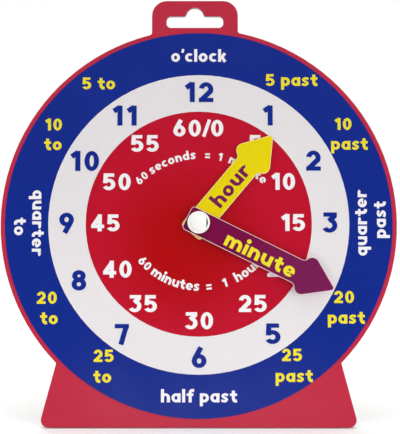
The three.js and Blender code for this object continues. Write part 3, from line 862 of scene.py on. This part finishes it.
def spaced(text, size, digit_share=CAP_SHARE):
    """Characters with the place of each one's left side, its scale and its width, and the whole width."""
    x, row = 0, []
    for character in text:
        if character == " ":
            x += WORD_GAP * size
            continue
        is_digit = character in digit_shares
        scale = size * digit_share if is_digit else size
        width = glyphs[character][0] * scale
        row.append((character, x, scale, width))
        x += width + (DIGIT_GAP if is_digit else LETTER_GAP) * scale
    last = row[-1]
    return row, last[1] + last[3]


INK = 0.03 * mm
INK_GAP = 0.02 * mm         # from the print below to the back of the letters
SAME_CORNER = 0.001 * mm    # corners of a letter's mesh that lie closer than this are one


def letter_layer(shape, points, scale, place, out):
    return [shape.verts.new(place @ Vector((point.x * scale, point.y * scale, out))) for point in points]


def letter_mesh(name, placed):
    """One mesh from characters, each with its scale and its own place on the board."""
    shape = bmesh.new()
    for character, scale, place in placed:
        _, points, triangles = glyphs[character]
        rear = letter_layer(shape, points, scale, place, 0)
        front = letter_layer(shape, points, scale, place, INK)
        edges = dict.fromkeys(edge for t in triangles for edge in zip(t, t[1:] + t[:1]))
        for triangle in triangles:
            shape.faces.new([front[i] for i in triangle])
            shape.faces.new([rear[i] for i in reversed(triangle)])
        for a, b in edges:
            if (b, a) not in edges:
                shape.faces.new([rear[a], rear[b], front[b], front[a]])
    bmesh.ops.remove_doubles(shape, verts=shape.verts, dist=SAME_CORNER)
    return mesh_from(shape, name)


def print_words(name, placed, colour, body):
    new_piece(name, letter_mesh(name, placed), f"{colour}_word", body)


def lay_words(name, text, place, size, colour, body, stretch=1):
    """Words centred over a place on the board, with their baseline through it."""
    row, width = spaced(text, size)
    stretched = place @ Matrix.Diagonal((stretch, 1, 1, 1))
    placed = [(character, scale, stretched @ Matrix.Translation((start - width / 2, 0, INK_GAP)))
              for character, start, scale, _ in row]
    print_words(name, placed, colour, body)


def curved_words(name, words, middle, radius, size, smile):
    """Words along an arch or a smile on the red disc."""
    out = front_of("red_disc_print") + INK_GAP
    placed = []
    for word, start in words:
        for character, left_side, scale, width in spaced(word, size, ARC_DIGIT_SHARE)[0]:
            along = math.radians(start) + (left_side + width / 2) / radius
            turn = along if smile else -along
            toward = turn + math.radians(-90 if smile else 90)
            x = middle[0] + radius * math.cos(toward)
            y = middle[1] + radius * math.sin(toward)
            place = board_frame(x * mm, y * mm, out, turn) @ Matrix.Translation((-width / 2 * mm, 0, 0))
            placed.append((character, scale * mm, place))
    print_words(name, placed, "white", "board")


# The dial's words, in millimetres: text, middle across, baseline up, colour

WORD_SIZE = 5 * mm
time_words = [
    ("o'clock", 0, 92, "white"),
    ("5 past", 52.6, 78.1, "yellow"),
    ("10", 81.4, 52.9, "yellow"),
    ("past", 84.9, 41.6, "yellow"),
    ("20", 80.9, -44.7, "yellow"),
    ("past", 82.1, -56.1, "yellow"),
    ("25", 51.7, -76.8, "yellow"),
    ("past", 52.9, -88.3, "yellow"),
    ("half past", 0.2, -99.5, "white"),
    ("25", -52.7, -77.3, "yellow"),
    ("to", -53.4, -88.7, "yellow"),
    ("20", -84.6, -45.1, "yellow"),
    ("to", -83.3, -56.4, "yellow"),
    ("10", -82, 52.6, "yellow"),
    ("to", -82.2, 41.4, "yellow"),
    ("5 to", -56.6, 76.2, "yellow"),
]
# Quarter words stand on end: text, baseline across, middle up, turn in degrees
quarter_words = [
    ("quarter", 94.2, 0.2, 90),
    ("past", 104.8, 2, 90),
    ("quarter", -93.3, 0.2, -90),
    ("to", -103.4, -1.8, -90),
]
# Minute numerals: text, middle across, middle up. Twelve has two, with a stroke between.
MINUTE_NUMERAL_HEIGHT = 9.5 * mm
minute_places = [
    ("60", -6.6, 53.9),
    ("/", 4.4, 53.9),
    ("0", 10.4, 53.9),
    ("5", 32, 45.2),
    ("10", 47.4, 23.6),
    ("15", 52.8, 0.4),
    ("20", 46, -25.3),
    ("25", 30.1, -44.9),
    ("30", 0.2, -54.5),
    ("35", -31, -45),
    ("40", -45.4, -25.8),
    ("45", -52.3, 0.2),
    ("50", -46, 23.4),
    ("55", -30.3, 45.2),
]


def piece_name(text, number):
    return text.replace(" ", "_").replace("'", "_") + f"_words_{number}"


def add_dial_words():
    base = front_of("blue_ring_print")
    rows = [(text, x, y, 0, colour) for text, x, y, colour in time_words]
    rows += [(text, x, y, turn, "white") for text, x, y, turn in quarter_words]
    for number, (text, x, y, turn, colour) in enumerate(rows):
        place = board_frame(x * mm, y * mm, base, math.radians(turn))
        lay_words(piece_name(text, number), text, place, WORD_SIZE, colour, "board")


def add_minute_numerals():
    base = front_of("red_disc_print")
    size = MINUTE_NUMERAL_HEIGHT / CAP_SHARE
    for text, x, y in minute_places:
        place = board_frame(x * mm, y * mm - MINUTE_NUMERAL_HEIGHT / 2, base)
        name = "minute_slash" if text == "/" else f"minute_numeral_{text}"
        lay_words(name, text, place, size, "white", "board")


# Arcs of small words inside the minute numerals, an arch above and a smile below. Their
# middles, radii and sizes are millimetres. Each word has the angle where it starts: degrees
# clockwise from the arch's top, or anticlockwise from the smile's foot.

ARCH_MIDDLE, ARCH_RADIUS, ARCH_WORD_SIZE = (1.6, -11), 47.5, 3.55
SMILE_MIDDLE, SMILE_RADIUS, SMILE_WORD_SIZE = (1, 8.1), 46, 3.9
arch_words = [("60", -46.9), ("seconds", -36), ("=", 2.2), ("1", 10.9), ("minute", 18.2)]
smile_words = [("60", -50.1), ("minutes", -37.5), ("=", 4.2), ("1", 16.5), ("hour", 26.3)]


def add_arc_words():
    curved_words("arch_words", arch_words, ARCH_MIDDLE, ARCH_RADIUS, ARCH_WORD_SIZE, smile=False)
    curved_words("smile_words", smile_words, SMILE_MIDDLE, SMILE_RADIUS, SMILE_WORD_SIZE, smile=True)


# Words along the hands, read outward from the rivet, in millimetres: text, hand, where it
# starts and ends on the hand, how far its baseline lies below the hand's middle, and colour

LABEL_SIZE = 6.05 * mm
hand_labels = [
    ("hour", "hour_hand", 13.9, 41.4, 4.1, "purple"),
    ("minute", "minute_hand", 17.6, 60.1, 5, "yellow"),
]


def hand_angle(card):
    """How far a hand lies anticlockwise from the board's across direction."""
    points = [vertex.co - dial_centre for vertex in frame["nodes"][card].data.vertices]
    tip = max(points, key=lambda point: point.length)
    return math.atan2(tip.dot(upward), tip.dot(across))


def add_hand_labels():
    """Each word is stretched to the length of hand that it covers."""
    for text, hand, start, end, drop, colour in hand_labels:
        place = board_frame(0, 0, front_of(f"{hand}_print"), hand_angle(f"{hand}_card"))
        place = place @ Matrix.Translation(((start + end) / 2 * mm, -drop * mm, 0))
        stretch = (end - start) * mm / spaced(text, LABEL_SIZE)[1]
        lay_words(f"{hand}_word", text, place, LABEL_SIZE, colour, hand, stretch)


add_dial_words()
add_minute_numerals()
add_arc_words()
add_hand_labels()


# Camera: a long lens a little above the dial, placed from how the dial sits in the picture

SENSOR, FOCAL = 36, 114.55                              # millimetres
TILT, SWING = math.radians(-6.09), math.radians(-0.1)   # from the board to the camera
DIAL_SEEN = Vector((-0.706, -3.53, -773.9)) * mm        # the dial's centre, as the camera has it
NEAREST, FURTHEST = 0.05, 60


def add_camera():
    board_to_camera = Matrix.Rotation(SWING, 3, "Y") @ Matrix.Rotation(TILT, 3, "X")
    board_axes = Matrix((across, upward, outward)).transposed()
    turn = board_axes @ board_to_camera.transposed()
    data = bpy.data.cameras.new("camera")
    data.sensor_width = SENSOR
    data.lens = FOCAL
    data.clip_start, data.clip_end = NEAREST, FURTHEST
    camera = bpy.data.objects.new("camera", data)
    camera.matrix_world = Matrix.Translation(dial_centre - turn @ DIAL_SEEN) @ turn.to_4x4()
    bpy.context.scene.collection.objects.link(camera)
    bpy.context.scene.camera = camera


# Stage and light. The room's light is dim where it comes from low down and bright where it
# comes from overhead, and changes between two heights of its direction.

FLOOR_RADIUS, FLOOR_STEPS = 0.46, 128
ROOM_DIM, ROOM_BRIGHT = 0.02, 1.1
DIM_BELOW, BRIGHT_ABOVE = 0.45, 0.95
# Soft panels: name, place, what they face, width, height and glow
panels = [
    ("key", (1.38, -1.16, 0.35), dial_centre, 1.5, 1.1, 3.4),
    ("left_fill", (-1.35, -1, 0.4), dial_centre, 1.2, 1, 2.1),
    ("overhead", (0, 0.3, 1.6), (0, 0, 0), 1.2, 1.2, 3.2),
    ("high_front", (0.1, -1.6, 1.15), dial_centre, 1.3, 0.5, 0.35),
    ("low_front", (0, -1.5, 0.33), dial_centre, 0.4, 0.1, 3.4),
    ("back", (-0.6, 1.3, 0.9), dial_centre, 0.8, 0.8, 2),
]


def add_panel(name, position, target, width, height, glow):
    """A panel's glow is how bright its face looks, against a white card at one."""
    data = bpy.data.lights.new(name, "AREA")
    data.shape = "RECTANGLE"
    data.size, data.size_y = width, height
    data.energy = glow * math.pi * width * height
    light = bpy.data.objects.new(name, data)
    light.location = position
    light.rotation_euler = (Vector(target) - Vector(position)).to_track_quat("-Z", "Y").to_euler()
    bpy.context.scene.collection.objects.link(light)


def add_stage():
    floor = Finish("floor_paper", FLOOR, roughness=0.9)
    floor.mottle(scale=3, amount=0.006, detail=2)
    floor.bump(floor.noise(scale=300, detail=2), strength=0.04, depth=0.1 * mm)
    shape = bmesh.new()
    bmesh.ops.create_circle(shape, cap_ends=True, segments=FLOOR_STEPS, radius=FLOOR_RADIUS)
    mesh = bpy.data.meshes.new("floor")
    shape.to_mesh(mesh)
    shape.free()
    mesh.materials.append(floor.material)
    plane = bpy.data.objects.new("floor", mesh)
    bpy.context.scene.collection.objects.link(plane)


def add_world():
    """The room's light. The camera, and gloss and clear things, see a white backdrop in its place."""
    world = bpy.data.worlds.new("studio")
    world.use_nodes = True
    tree = world.node_tree
    nodes, links = tree.nodes, tree.links
    direction = nodes.new("ShaderNodeTexCoord")
    split = nodes.new("ShaderNodeSeparateXYZ")
    links.new(direction.outputs["Generated"], split.inputs[0])
    glow = remapped(tree, split.outputs["Z"], DIM_BELOW, BRIGHT_ABOVE, ROOM_DIM, ROOM_BRIGHT)
    room = nodes["Background"]
    room.inputs["Color"].default_value = (1, 1, 1, 1)
    links.new(glow, room.inputs["Strength"])
    backdrop = nodes.new("ShaderNodeBackground")
    backdrop.inputs["Color"].default_value = (1, 1, 1, 1)
    path = nodes.new("ShaderNodeLightPath")
    seen = path.outputs["Is Camera Ray"]
    for ray in ("Is Glossy Ray", "Is Transmission Ray"):
        seen = calculated(tree, "MAXIMUM", seen, path.outputs[ray])
    mix = nodes.new("ShaderNodeMixShader")
    links.new(seen, mix.inputs[0])
    links.new(room.outputs[0], mix.inputs[1])
    links.new(backdrop.outputs[0], mix.inputs[2])
    links.new(mix.outputs[0], nodes["World Output"].inputs["Surface"])
    bpy.context.scene.world = world


add_camera()
add_stage()
add_world()
for panel in panels:
    add_panel(*panel)
bpy.context.scene.view_settings.view_transform = "Standard"
